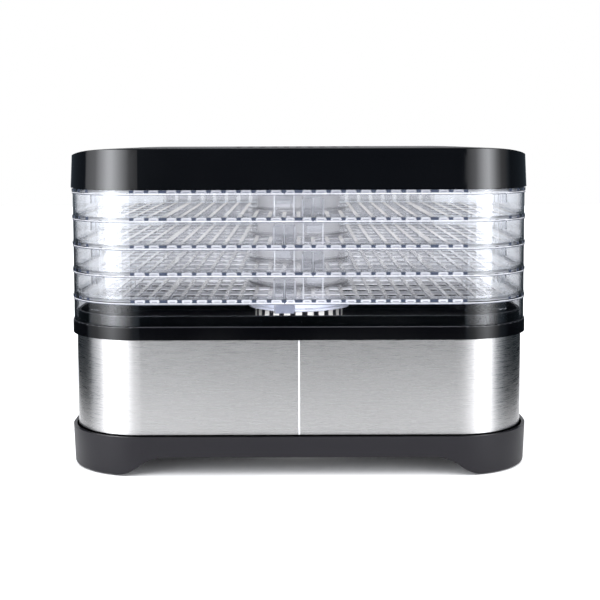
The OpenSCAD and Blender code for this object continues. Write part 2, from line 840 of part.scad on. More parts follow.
// Lattice floor, with its top flush with the rim
module tray_floor() {
    solid_r = hub_hole_r + hub_lap + 1.5;
    border = ledge_inset + 1;
    translate([0, 0, tray_h - floor_t]) linear_extrude(floor_t) difference() {
        plan(floor_inset);
        circle(hub_hole_r + hub_gap);
        for (i = [0:RIBS - 1], j = [0:ROWS - 1]) {
            x0 = rib_x(i) + rib_width(i) / 2;
            x1 = rib_x(i + 1) - rib_width(i + 1) / 2;
            y0 = j * row_pitch + bar_w / 2;
            y1 = (j + 1) * row_pitch - bar_w / 2;
            if (in_plan(x1, y1, border) && norm([x0, y0]) > solid_r)
                for (mx = [0, 1], my = [0, 1]) mirror([mx, 0]) mirror([0, my])
                    translate([x0, y0]) square([x1 - x0, y1 - y0]);
        }
    }
}

// Hub: a ring set in the floor, a tube with air slots under it, and a flange above the floor below
module tray_hub() {
    flange_z = 1.5;
    flange_t = 1.6;
    tube_t = 1.8;
    slot_share = 0.6;
    slot_h = 4;
    seat_t = 1.6;
    bore_r = hub_r - 5;
    floor_z = tray_h - floor_t;
    tube_top = floor_z - seat_t;
    ring(hub_hole_r, bore_r, floor_z, tray_h);
    ring(hub_hole_r + hub_lap, bore_r, tube_top, floor_z);
    difference() {
        ring(hub_r, hub_r - tube_t, flange_z + flange_t, tube_top);
        fins(hub_r + 1, tube_t + 2, hub_slots, 2 * PI * hub_r / hub_slots * slot_share,
            tube_top - slot_h, tube_top + past);
    }
    ring(hub_flange_r, bore_r, flange_z, flange_z + flange_t);
}

// Upstanding tongue with rounded top corners and edge ribs, and its tab below the rim
module tongue() {
    z0 = tray_h - rim_h - tab_drop;
    z1 = tray_h + tongue_rise;
    r = 3;
    y = half_d(tongue_inset);
    translate([tongue_x, 0, 0]) {
        translate([0, -y + tongue_t, 0]) rotate([90, 0, 0]) linear_extrude(tongue_t) {
            translate([-tongue_w / 2, z0]) square([tongue_w, z1 - z0 - r]);
            translate([-tongue_w / 2 + r, z1 - r - past]) square([tongue_w - 2 * r, r + past]);
            for (s = [-1, 1]) translate([s * (tongue_w / 2 - r), z1 - r]) circle(r);
        }
        for (x = [-tongue_w / 2, -bead_w / 2, tongue_w / 2 - bead_w])
            translate([x, -y + tongue_t - bead_sink, tray_h + slide_gap])
                cube([bead_w, bead_w, tongue_rise - slide_gap - r]);
    }
}

module tray_frame() {
    ledge_z = tray_h - rim_h;
    rim_inset = tray_inset - rim_out;
    guide_x = tongue_w / 2 + 1.6;
    difference() {
        union() {
            wall(tray_inset, tray_wall, 0, ledge_z);
            wall(rim_inset, lip_inset + lip_t - rim_inset, ledge_z, tray_h);
            wall(lip_inset, lip_t, tray_h - past, tray_h + lip_h);
            wall(tray_inset, ledge_inset - tray_inset, ledge_z, tray_h - floor_t);
        }
        for (my = [0, 1], i = [-NOTCHES:NOTCHES]) mirror([0, my, 0])
            translate([sign(i) * rib_x(abs(i)), -half_d(rim_inset), ledge_z + rim_h / 2 + 0.1])
                cube([notch_w + (rib_width(abs(i)) - rib_w), 5, notch_h], center = true);
        for (mx = [0, 1], i = [-SIDE_NOTCHES:SIDE_NOTCHES]) mirror([mx, 0, 0])
            translate([half_w(rim_inset), i * rib_pitch, ledge_z + rim_h / 2 + 0.1])
                cube([5, notch_w, notch_h], center = true);
    }
    for (my = [0, 1]) mirror([0, my, 0]) {
        tongue();
        for (s = [-1, 1])
            translate([tongue_x + s * guide_x - guide_t / 2, -half_d(tray_inset + tray_wall), guide_z])
                cube([guide_t, guide_t, ledge_z - guide_z]);
    }
    for (mx = [0, 1], my = [0, 1]) mirror([mx, 0, 0]) mirror([0, my, 0])
        translate([half_w(0) - corner_r, half_d(0) - corner_r, ledge_z - peg_h]) rotate(45)
            difference() {
                translate([peg_at - peg_w / 2, -peg_w / 2, 0]) cube([peg_w, peg_w, peg_h + 1]);
                translate([peg_at - peg_w / 2 - past, -peg_w / 2 + peg_wall, -past])
                    cube([peg_w - peg_wall + past, peg_w - 2 * peg_wall, peg_h + 1]);
            }
}

// Lifts tray k to its place; every second one is turned half round
module stacked(k) {
    translate([0, 0, band_top + (k - 1) * tray_h]) rotate(k % 2 == 1 ? 180 : 0) children();
}

clear = "#dfe8f4";
module tray_1() color(clear) stacked(1) tray_frame();
module tray_2() color(clear) stacked(2) tray_frame();
module tray_3() color(clear) stacked(3) tray_frame();
module tray_4() color(clear) stacked(4) tray_frame();
module tray_5() color(clear) stacked(5) tray_frame();
module tray_1_floor() color(clear) stacked(1) tray_floor();
module tray_2_floor() color(clear) stacked(2) tray_floor();
module tray_3_floor() color(clear) stacked(3) tray_floor();
module tray_4_floor() color(clear) stacked(4) tray_floor();
module tray_5_floor() color(clear) stacked(5) tray_floor();
module tray_1_hub() color(clear) stacked(1) tray_hub();
module tray_2_hub() color(clear) stacked(2) tray_hub();
module tray_3_hub() color(clear) stacked(3) tray_hub();
module tray_4_hub() color(clear) stacked(4) tray_hub();
module tray_5_hub() color(clear) stacked(5) tray_hub();

// ---------- lid ----------

CROWN_AT = [0, 3, 6, 10, 15, 21, 28, 37, 48, 62];
lid_edge_r = 1.6;
lid_core = 20;

// Height of the lid's top at a distance in from its ends
function crown_z(at) =
    let (rest = exp(-CROWN_AT[len(CROWN_AT) - 1] / crown_run))
    lid_top - crown_h * (exp(-at / crown_run) - rest);

// A block with leaning walls and a crowned top that lies drop below the lid's
module lid_block(inset, z0, drop) {
    end_x = half_w(lid_inset + lid_lean);
    top = lid_top - drop;
    intersection() {
        union() {
            sweep(inset) polygon(concat(
                [[-lid_core, z0], [0, z0]],
                arc(-lid_lean - lid_edge_r, top - lid_edge_r, lid_edge_r, 0, 90),
                [[-lid_core, top]]
            ));
            slab(inset + lid_core - 1, z0, top);
        }
        rotate([90, 0, 0]) linear_extrude(body_d, center = true) polygon(concat(
            [for (at = CROWN_AT) [end_x - at, crown_z(at) - drop]],
            [[0, top + 1]],
            [for (i = [len(CROWN_AT) - 1:-1:0]) [CROWN_AT[i] - end_x, crown_z(CROWN_AT[i]) - drop]],
            [[-body_w / 2, crown_z(0) - drop], [-body_w / 2, 0], [body_w / 2, 0]],
            [[body_w / 2, crown_z(0) - drop]]
        ));
    }
}

module lid() color("#0b0b0d") {
    vent_w = 5;
    vent_l = 34;
    vent_pitch = 11;
    vent_gap = 4;
    scoop_r = 300;
    rib_sink = 0.6;
    seat_h = 5;
    difference() {
        lid_block(lid_inset, lid_bottom, 0);
        lid_block(lid_inset + lid_wall, lid_bottom - 1, lid_wall);
        for (mx = [0, 1]) mirror([mx, 0, 0])
            translate([half_w(corner_r), 0, lid_bottom + scoop_h - scoop_r])
                rotate([0, 90, 0]) cylinder(r = scoop_r, h = corner_r + past, $fn = 360);
        for (i = [-5:5], sy = [-1, 1])
            translate([i * vent_pitch, sy * (vent_l / 2 + vent_gap), lid_top - lid_wall / 2])
                cube([vent_w, vent_l, lid_wall + 2 * past], center = true);
    }
    wall(lid_inset + lid_wall - rib_sink, lip_inset - nest_gap - lid_inset - lid_wall + rib_sink,
        stack_top, stack_top + seat_h);
}

lid();
tray_5();
tray_5_floor();
tray_5_hub();
tray_4();
tray_4_floor();
tray_4_hub();
tray_3();
tray_3_floor();
tray_3_hub();
tray_2();
tray_2_floor();
tray_2_hub();
tray_1();
tray_1_floor();
tray_1_hub();
deck();
outlet_turret();
steel_wrap();
seam_strip();
base_pan();
rubber_feet();
intake_grille();
pan_screws();
air_duct();
duct_screws();
heater_frame();
heater_coil();
thermal_fuse();
temperature_sensor();
motor_bracket();
motor();
motor_screws();
motor_shaft();
fan_impeller();
power_board();
relay();
capacitor();
transformer();
board_screws();
terminal_block();
cable_gland();
control_bezel();
display_lens();
display_module();
control_board();
control_screws();
tact_switches();
button_power();
button_start();
button_mode();
button_up();
button_down();
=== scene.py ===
"""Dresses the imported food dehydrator: fine meshes, materials, studio light and the camera."""
import json
import math

import bpy
from mathutils import Matrix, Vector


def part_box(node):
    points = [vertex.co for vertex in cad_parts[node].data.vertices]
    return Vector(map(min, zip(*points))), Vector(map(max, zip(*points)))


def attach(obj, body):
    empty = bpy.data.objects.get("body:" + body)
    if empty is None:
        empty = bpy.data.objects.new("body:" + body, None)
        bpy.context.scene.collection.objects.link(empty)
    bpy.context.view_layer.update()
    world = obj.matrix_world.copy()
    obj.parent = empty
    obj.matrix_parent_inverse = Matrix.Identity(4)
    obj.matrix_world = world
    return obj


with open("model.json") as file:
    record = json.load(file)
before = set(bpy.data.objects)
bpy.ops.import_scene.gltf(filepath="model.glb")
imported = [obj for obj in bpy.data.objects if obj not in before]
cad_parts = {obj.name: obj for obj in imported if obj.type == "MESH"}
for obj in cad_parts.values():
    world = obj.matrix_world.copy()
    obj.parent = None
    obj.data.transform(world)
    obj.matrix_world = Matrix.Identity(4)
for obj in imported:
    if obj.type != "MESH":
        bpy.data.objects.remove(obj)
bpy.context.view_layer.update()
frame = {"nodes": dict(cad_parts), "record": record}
nodes = frame["nodes"]
scene = bpy.context.scene
MM = 0.001


# ---------- sizes of the part, in millimetres ----------

HALF_W, HALF_D, CORNER = 200.0, 127.0, 67.0
RING_TOP, BAND_TOP, TUB_TOP = 33.9, 126.9, 135.8

# How far each wall stands in from the body's outline
STEEL_INSET, BAND_INSET, TUB_INSET = 4.5, 1.0, 5.4
TRAY_INSET, RIM_INSET, TONGUE_INSET = 2.0, 1.4, 4.4

# The trays: how many, their pitch, floor and rim, and their tongues with the tabs that hang below the rim
TRAYS = 5
TRAY_H, FLOOR_T, RIM_H = 22.8, 2.4, 4.4
TONGUE_W, TONGUE_X, TONGUE_RISE, TAB_DROP = 18.8, 11.9, 17.6, 7.5

# The ribs of a floor, counted from the middle, with one notch of the rim at each. The spacing widens by
# WIDE_SHIFT at rib WIDE_RIB, half before it and half after
RIB_PITCH, LAST_RIB, LAST_SIDE_RIB = 12.4, 11, 4
WIDE_RIB, WIDE_SHIFT = 9, 2.0
NOTCH_W, WIDE_NOTCH_W = 3.5, 6.4

# Notches round each corner: how many, and their angles in degrees from the side's direction
CORNER_NOTCHES, CORNER_NOTCH_START, CORNER_NOTCH_STEP, CORNER_NOTCH_HALF = 5, 3.0, 10.8, 1.5

# A tray's hub with its flange, and the air outlet's ring of bars, which are BAR_PITCH degrees apart
HUB_R, FLANGE_R, FLANGE_TOP = 38.0, 46.7, 3.1
BAR_PITCH, BAR_FOOT, TURRET_INSIDE = 15.0, 110.0, 37.8

tray_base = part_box("tray_1")[0].z


# ---------- node helpers ----------

class Graph:
    """Short calls for building a node tree."""

    def __init__(self, tree):
        self.tree = tree
        self.links = tree.links
        tree.nodes.clear()

    def add(self, kind, **settings):
        node = self.tree.nodes.new(kind)
        for key, value in settings.items():
            setattr(node, key, value)
        return node

    def join(self, source, target):
        self.links.new(source, target)

    def fill(self, socket, value):
        if isinstance(value, bpy.types.NodeSocket):
            self.links.new(value, socket)
        else:
            socket.default_value = value

    def math(self, operation, a, b=0.0, clamp=False):
        node = self.add("ShaderNodeMath", operation=operation, use_clamp=clamp)
        self.fill(node.inputs[0], a)
        self.fill(node.inputs[1], b)
        return node.outputs[0]

    def plus(self, a, b, clamp=False):
        return self.math("ADD", a, b, clamp)

    def minus(self, a, b):
        return self.math("SUBTRACT", a, b)

    def times(self, a, b):
        return self.math("MULTIPLY", a, b)

    def size(self, value):
        """The value without its sign."""
        return self.math("ABSOLUTE", value)

    def ramp(self, value, low, high, to_low=0.0, to_high=1.0):
        """Smooth step from to_low to to_high as value goes from low to high."""
        node = self.add("ShaderNodeMapRange", interpolation_type="SMOOTHSTEP")
        for index, item in enumerate((value, low, high, to_low, to_high)):
            self.fill(node.inputs[index], item)
        return node.outputs[0]

    def curve(self, value, points):
        """Straight lines through the given points, which stand in order of their first number."""
        low, high = points[0][0], points[-1][0]
        top = max(y for x, y in points)
        place = self.add("ShaderNodeMapRange")
        for index, item in enumerate((value, low, high, 0.0, 1.0)):
            self.fill(place.inputs[index], item)
        node = self.add("ShaderNodeValToRGB")
        stops = node.color_ramp.elements
        while len(stops) < len(points):
            stops.new(0.5)
        for stop, (x, y) in zip(stops, points):
            stop.position = (x - low) / (high - low)
            stop.color = grey(y / top)
        self.join(place.outputs[0], node.inputs[0])
        return self.times(node.outputs[0], top)

    def mix(self, factor, a, b):
        node = self.add("ShaderNodeMix", data_type="RGBA")
        self.fill(node.inputs[0], factor)
        self.fill(node.inputs[6], a)
        self.fill(node.inputs[7], b)
        return node.outputs[2]

    def mix_shader(self, factor, a, b):
        node = self.add("ShaderNodeMixShader")
        self.fill(node.inputs[0], factor)
        self.join(a, node.inputs[1])
        self.join(b, node.inputs[2])
        return node

    def noise(self, scale, detail=3.0, stretch=(1, 1, 1), roughness=0.5):
        place = self.add("ShaderNodeTexCoord")
        mapping = self.add("ShaderNodeMapping")
        mapping.inputs["Scale"].default_value = stretch
        self.join(place.outputs["Object"], mapping.inputs["Vector"])
        node = self.add("ShaderNodeTexNoise")
        node.inputs["Scale"].default_value = scale
        node.inputs["Detail"].default_value = detail
        node.inputs["Roughness"].default_value = roughness
        self.join(mapping.outputs[0], node.inputs["Vector"])
        return node.outputs["Fac"]

    def split(self, coordinate):
        """The X, Y and Z of a texture coordinate, such as Object or Normal."""
        node = self.add("ShaderNodeSeparateXYZ")
        self.join(self.add("ShaderNodeTexCoord").outputs[coordinate], node.inputs[0])
        return node.outputs

    def radius(self, x, y):
        """Distance from the Z axis."""
        return self.math("SQRT", self.plus(self.times(x, x), self.times(y, y)))


def opaque(colour):
    return (*colour, 1.0)


def grey(value):
    return opaque((value, value, value))


def new_nodes(owner):
    """The empty node tree of a new material, world or lamp."""
    owner.use_nodes = True
    return Graph(owner.node_tree)


# ---------- studio ----------

# Strength of the two softboxes by bearing, which is 0 towards -Y and grows towards +X
SOFTBOXES = (
    (-180, 0.0), (-99, 0.0), (-97, 0.9), (-77, 2.1), (-61, 6.6), (-54, 8.9), (-48, 9.1), (-33, 4.5),
    (-20, 1.2), (-7, 0.0), (17, 0.0), (19, 0.75), (32, 2.0), (46, 6.6), (53, 8.0), (68, 2.25),
    (76, 0.72), (95, 0.0), (180, 0.0),
)


def studio_world():
    """A white backdrop behind, two side softboxes with dark flags behind them, and a dark room in front."""
    world = bpy.data.worlds.new("studio")
    scene.world = world
    g = new_nodes(world)
    out = g.add("ShaderNodeOutputWorld")
    background = g.add("ShaderNodeBackground")
    path = g.add("ShaderNodeLightPath")
    seen = path.outputs["Is Camera Ray"]
    x, y, z = g.split("Generated")
    bearing = g.math("DEGREES", g.math("ARCTAN2", x, g.times(y, -1.0)))
    height = g.math("DEGREES", g.math("ARCSINE", z))

    # The softboxes fade out from 25 to 50 degrees up. Matt surfaces get three tenths of them
    tall = g.times(g.ramp(height, 50.0, 25.0), g.ramp(height, -12.0, 0.0, 0.2, 1.0))
    scattered = g.math("MINIMUM", path.outputs["Diffuse Depth"], 1.0)
    share = g.minus(1.0, g.times(scattered, 0.7))
    sides = g.times(g.times(g.curve(bearing, SOFTBOXES), tall), share)

    # The room in front, the backdrop behind and the pale roof
    front = g.times(g.ramp(height, -6.0, -2.0, 0.02, 0.09), g.ramp(height, 60.0, 20.0, 0.3, 1.0))
    backdrop = g.ramp(g.size(bearing), 158.0, 169.0)
    roof = g.ramp(height, 45.0, 80.0, 0.0, 0.8)

    # Light that has been scattered, with a little more for each of the first 14 clear layers it crossed
    layers = g.math("MINIMUM", path.outputs["Transmission Depth"], 14.0)
    fill = g.times(scattered, g.plus(0.6, g.times(layers, 0.1)))

    # Dim light is bluer. The camera itself sees plain white
    level = g.plus(g.plus(sides, g.plus(front, backdrop)), g.plus(roof, fill))
    cool = g.ramp(level, 0.0, 0.6, 1.0, 0.0)
    tint = g.mix(cool, (0.94, 0.96, 1.0, 1.0), (0.6, 0.8, 1.0, 1.0))
    g.join(g.mix(seen, tint, grey(1.0)), background.inputs["Color"])
    g.join(g.plus(g.times(level, g.minus(1.0, seen)), seen), background.inputs["Strength"])
    g.join(background.outputs[0], out.inputs[0])


def pale_floor():
    """A pale floor, white to the camera but for the shadow; gloss sees a table of limited size."""
    bpy.ops.mesh.primitive_plane_add(size=8.0)
    floor = bpy.context.object
    floor.name = "floor"
    paint = bpy.data.materials.new("pale_floor")
    g = new_nodes(paint)
    out = g.add("ShaderNodeOutputMaterial")
    diffuse = g.add("ShaderNodeBsdfDiffuse")
    diffuse.inputs["Color"].default_value = grey(0.82)

    # The floor's own glow: dimmer for the camera where the object shelters it, and even for other rays
    lift = g.add("ShaderNodeEmission")
    camera_sees = g.add("ShaderNodeLightPath").outputs["Is Camera Ray"]
    shelter = g.add("ShaderNodeAmbientOcclusion", samples=8)
    shelter.inputs["Distance"].default_value = 0.09
    glow = g.ramp(shelter.outputs["AO"], 0.1, 0.55, 0.0, 0.7)
    other = g.times(g.minus(1.0, camera_sees), 0.35)
    g.join(g.plus(g.times(camera_sees, glow), other), lift.inputs["Strength"])
    total = g.add("ShaderNodeAddShader")
    g.join(diffuse.outputs[0], total.inputs[0])
    g.join(lift.outputs[0], total.inputs[1])

    # The table's edges, in metres from its middle
    x, y, z = g.split("Object")
    across = g.ramp(g.size(x), 0.42, 0.26)
    along = g.ramp(g.size(y), 0.85, 0.4)
    table = g.math("MAXIMUM", g.times(across, along), camera_sees)
    cut = g.mix_shader(table, g.add("ShaderNodeBsdfTransparent").outputs[0], total.outputs[0])
    g.join(cut.outputs[0], out.inputs["Surface"])
    floor.data.materials.append(paint)


def camera():
    """The photographer's stand: level with the lid, a little over a metre away."""
    data = bpy.data.cameras.new("camera")
    data.sensor_width = 36.0
    data.lens = 72.0
    data.shift_x = 0.00224
    data.shift_y = -0.12
    data.clip_end = 20.0
    eye = bpy.data.objects.new("camera", data)
    scene.collection.objects.link(eye)
    place = Matrix.Translation((0.0, -1.116, 0.28216))
    tilt = Matrix.Rotation(math.radians(85.8), 4, "X")
    roll = Matrix.Rotation(math.radians(-0.17), 4, "Z")
    eye.matrix_world = place @ tilt @ roll
    scene.camera = eye


def weak_lamp(name, place, size, tilt, power, colour):
    """A panel of light that only matt surfaces see. It faces down, but for a tilt in degrees."""
    data = bpy.data.lights.new(name, "AREA")
    data.shape = "RECTANGLE"
    data.size, data.size_y = size
    data.energy = power
    data.color = colour
    lamp = bpy.data.objects.new(name, data)
    scene.collection.objects.link(lamp)
    lamp.location = place
    lamp.rotation_euler = (math.radians(tilt), 0, 0)
    lamp.visible_camera = lamp.visible_glossy = lamp.visible_transmission = False
    return data


def inner_fill(name, y, z, size, tilt, power):
    """A strip behind the front wall that keeps what the lid and tub shut in at a plain level, near or far."""
    data = weak_lamp(name, (0.0, y, z), size, tilt, power, (0.97, 0.97, 1.0))
    g = new_nodes(data)
    out = g.add("ShaderNodeOutputLight")
    glow = g.add("ShaderNodeEmission")
    even = g.add("ShaderNodeLightFalloff")
    even.inputs["Strength"].default_value = 1.0
    g.join(even.outputs["Constant"], glow.inputs["Strength"])
    g.join(glow.outputs[0], out.inputs["Surface"])


def overhead_fill(name, z, power):
    """A panel under a tray, which lights the floor below it."""
    weak_lamp(name, (0, 0, z), (0.36, 0.22), 0, power, (0.98, 0.98, 1.0))


scene.view_settings.view_transform = "Standard"
scene.cycles.max_bounces = 32
scene.cycles.transmission_bounces = 32
scene.cycles.glossy_bounces = 8
scene.cycles.transparent_max_bounces = 48
camera()
studio_world()
pale_floor()


# ---------- materials ----------

CLEAR_IOR = 1.49


def material(name, colour, roughness, build, **sockets):
    """A Principled material. build adds its colour, roughness and bump nodes."""
    made = bpy.data.materials.new(name)
    g = new_nodes(made)
    out = g.add("ShaderNodeOutputMaterial")
    shader = g.add("ShaderNodeBsdfPrincipled")
    shader.inputs["Base Color"].default_value = opaque(colour)
    shader.inputs["Roughness"].default_value = roughness
    for key, value in sockets.items():
        shader.inputs[key.replace("_", " ")].default_value = value
    g.join(shader.outputs[0], out.inputs["Surface"])
    build(g, shader)
    return made


def bump(g, shader, height, strength, distance):
    node = g.add("ShaderNodeBump")
    node.inputs["Strength"].default_value = strength
    node.inputs["Distance"].default_value = distance
    g.join(height, node.inputs["Height"])
    g.join(node.outputs[0], shader.inputs["Normal"])


def moulded(low, high, rough_low, rough_high, scale, strength, distance):
    """Colour and roughness that vary a little, and a fine bump, as on moulded plastic."""

    def build(g, shader):
        wide = g.noise(18.0, 2.0)
        fine = g.noise(scale, 3.0)
        g.join(g.mix(wide, opaque(low), opaque(high)), shader.inputs["Base Color"])
        g.join(g.ramp(wide, 0.3, 0.7, rough_low, rough_high), shader.inputs["Roughness"])
        bump(g, shader, fine, strength, distance)

    return build


def satin_tops(g, shader):
    """Black gloss on the upright faces, which turns to satin on the level ones."""
    finish = moulded((0.0008, 0.0008, 0.0013), (0.0016, 0.0016, 0.0022), 0.07, 0.11, 2500.0, 0.04, 0.0001)
    finish(g, shader)
    gloss = shader.inputs["Roughness"].links[0].from_socket
    satin = g.ramp(g.split("Normal")[2], 0.8, 0.98, 0.0, 0.42)
    g.join(g.plus(gloss, satin), shader.inputs["Roughness"])


def brushed(low, high, rough_low, rough_high):
    """Fine level streaks that follow the sheet round its corners."""

    def build(g, shader):
        streak = g.noise(1.0, 4.0, (60.0, 60.0, 2600.0), 0.6)
        blotch = g.noise(14.0, 2.0, (1.0, 1.0, 2.5))
        tone = g.plus(g.times(streak, 0.7), g.times(blotch, 0.3))
        g.join(g.mix(tone, opaque(low), opaque(high)), shader.inputs["Base Color"])
        g.join(g.ramp(streak, 0.3, 0.7, rough_low, rough_high), shader.inputs["Roughness"])
        bump(g, shader, streak, 0.12, 0.0002)
        tangent = g.add("ShaderNodeTangent", direction_type="RADIAL", axis="Z")
        g.join(tangent.outputs[0], shader.inputs["Tangent"])

    return build


def see_through(name, colour, roughness, alpha):
    """Thin clear plastic that doesn't bend the view: part see-through, part pale, with its own gloss."""
    darker = tuple(0.94 * c for c in colour)
    finish = moulded(darker, colour, roughness, roughness + 0.1, 400.0, 0.05, 0.0002)
    return material(name, colour, roughness, finish, IOR=CLEAR_IOR, Alpha=alpha)


def part_clear(name, tint, vary):
    """Clear plastic that bends light as glass does, with a pale share. vary sets its colour and how much."""
    finish = moulded(tuple(0.98 * c for c in tint), tint, 0.01, 0.05, 300.0, 0.03, 0.0003)

    def build(g, shader):
        finish(g, shader)
        surface = shader.outputs[0].links[0].to_socket
        pale = g.add("ShaderNodeBsdfDiffuse")
        both = g.mix_shader(0.0, shader.outputs[0], pale.outputs[0])
        g.join(both.outputs[0], surface)
        vary(g, pale.inputs["Color"], both.inputs[0])

    return material(name, tint, 0.03, build, IOR=CLEAR_IOR, Transmission_Weight=1.0)


def lattice(g, colour, share):
    """The floor: grey opening walls, painted shade on the sideways ones and a painted highlight along their
    foot; rib tops painted pale as lit.
    """
    x, y, z = g.split("Object")
    facing = g.split("Normal")
    side = g.ramp(g.size(facing[0]), 0.4, 0.6)
    front = g.ramp(g.size(facing[1]), 0.4, 0.6)
    walls = g.math("MAXIMUM", side, front)

    # The painted highlight lies on the lowest part of the floor, which hangs at the top of the tray's pitch
    level = g.math("MODULO", g.minus(z, tray_base), TRAY_H * MM)
    low = g.ramp(level, (TRAY_H - FLOOR_T + 0.95) * MM, (TRAY_H - FLOOR_T + 0.6) * MM)
    white = g.times(walls, low)
    # Walls facing sideways get a dark painted shade; walls facing front and back stay light grey
    tone = g.mix(side, (0.8, 0.81, 0.86, 1.0), (0.3, 0.31, 0.37, 1.0))
    tone = g.mix(front, tone, (0.8, 0.81, 0.85, 1.0))

    # Off is the distance from the middle of the nearest rib
    across = g.size(x)
    wide = (WIDE_RIB * RIB_PITCH + 0.9) * MM
    beyond = g.times(g.ramp(across, wide, wide + 0.1 * MM), WIDE_SHIFT * MM)
    across = g.plus(g.minus(across, beyond), RIB_PITCH * MM / 2)
    off = g.size(g.minus(g.math("MODULO", across, RIB_PITCH * MM), RIB_PITCH * MM / 2))
    # Rib tops that face up are painted pale, as lit from above
    ribs = g.times(g.ramp(off, 2.1 * MM, 1.5 * MM), g.ramp(facing[2], 0.6, 0.8))
    tone = g.mix(ribs, tone, (0.98, 0.96, 0.93, 1.0))
    g.join(g.mix(white, tone, (0.97, 0.97, 1.0, 1.0)), colour)

    # The painted-lit rib tops show more on the upper floors
    lower, higher = (tray_base + trays * TRAY_H * MM for trays in (2.2, 3.8))
    upper = g.ramp(z, lower, higher, 0.12, 0.6)
    mixed = g.plus(g.plus(0.05, g.times(walls, 0.4)), g.times(ribs, upper))
    g.join(g.plus(mixed, g.times(white, 0.35), clamp=True), share)


def hub_share(g, colour, share):
    """The tube is milky; the flange round its foot is nearly clear."""
    g.fill(colour, (0.97, 0.97, 1.0, 1.0))
    x, y, z = g.split("Object")
    g.join(g.ramp(g.radius(x, y), (HUB_R + 0.2) * MM, (HUB_R + 0.8) * MM, 0.5, 0.1), share)


def turret_bars(g, shader):
    """Cream bars. The gaps between them, which run up through the cap, and all inside are in shade."""
    finish = moulded((0.84, 0.83, 0.78), (0.92, 0.91, 0.87), 0.3, 0.4, 1500.0, 0.05, 0.0002)
    finish(g, shader)
    cream = shader.inputs["Base Color"].links[0].from_socket
    x, y, z = g.split("Object")
    half = BAR_PITCH / 2
    turn = g.plus(g.math("DEGREES", g.math("ARCTAN2", y, x)), 360.0 + half)
    off = g.size(g.minus(g.math("MODULO", turn, BAR_PITCH), half))
    gap = g.times(g.ramp(off, 3.7, 4.3), g.ramp(z, (BAR_FOOT - 0.5) * MM, (BAR_FOOT + 0.5) * MM))
    inside = g.ramp(g.radius(x, y), (TURRET_INSIDE + 1.5) * MM, TURRET_INSIDE * MM)
    upward = g.ramp(g.split("Normal")[2], 0.6, 0.8)
    shade = g.times(g.math("MAXIMUM", gap, inside), g.minus(1.0, upward))
    g.join(g.mix(shade, cream, (0.02, 0.02, 0.025, 1.0)), shader.inputs["Base Color"])


def polish(name, share):
    """A skin that only adds gloss to the clear wall under it."""
    made = bpy.data.materials.new(name)
    g = new_nodes(made)
    out = g.add("ShaderNodeOutputMaterial")
    gloss = g.add("ShaderNodeBsdfGlossy")
    gloss.inputs["Color"].default_value = (0.95, 0.96, 1.0, 1.0)
    g.join(g.ramp(g.noise(400.0, 3.0), 0.3, 0.7, 0.03, 0.07), gloss.inputs["Roughness"])
    both = g.mix_shader(share, g.add("ShaderNodeBsdfTransparent").outputs[0], gloss.outputs[0])
    g.join(both.outputs[0], out.inputs["Surface"])
    return made


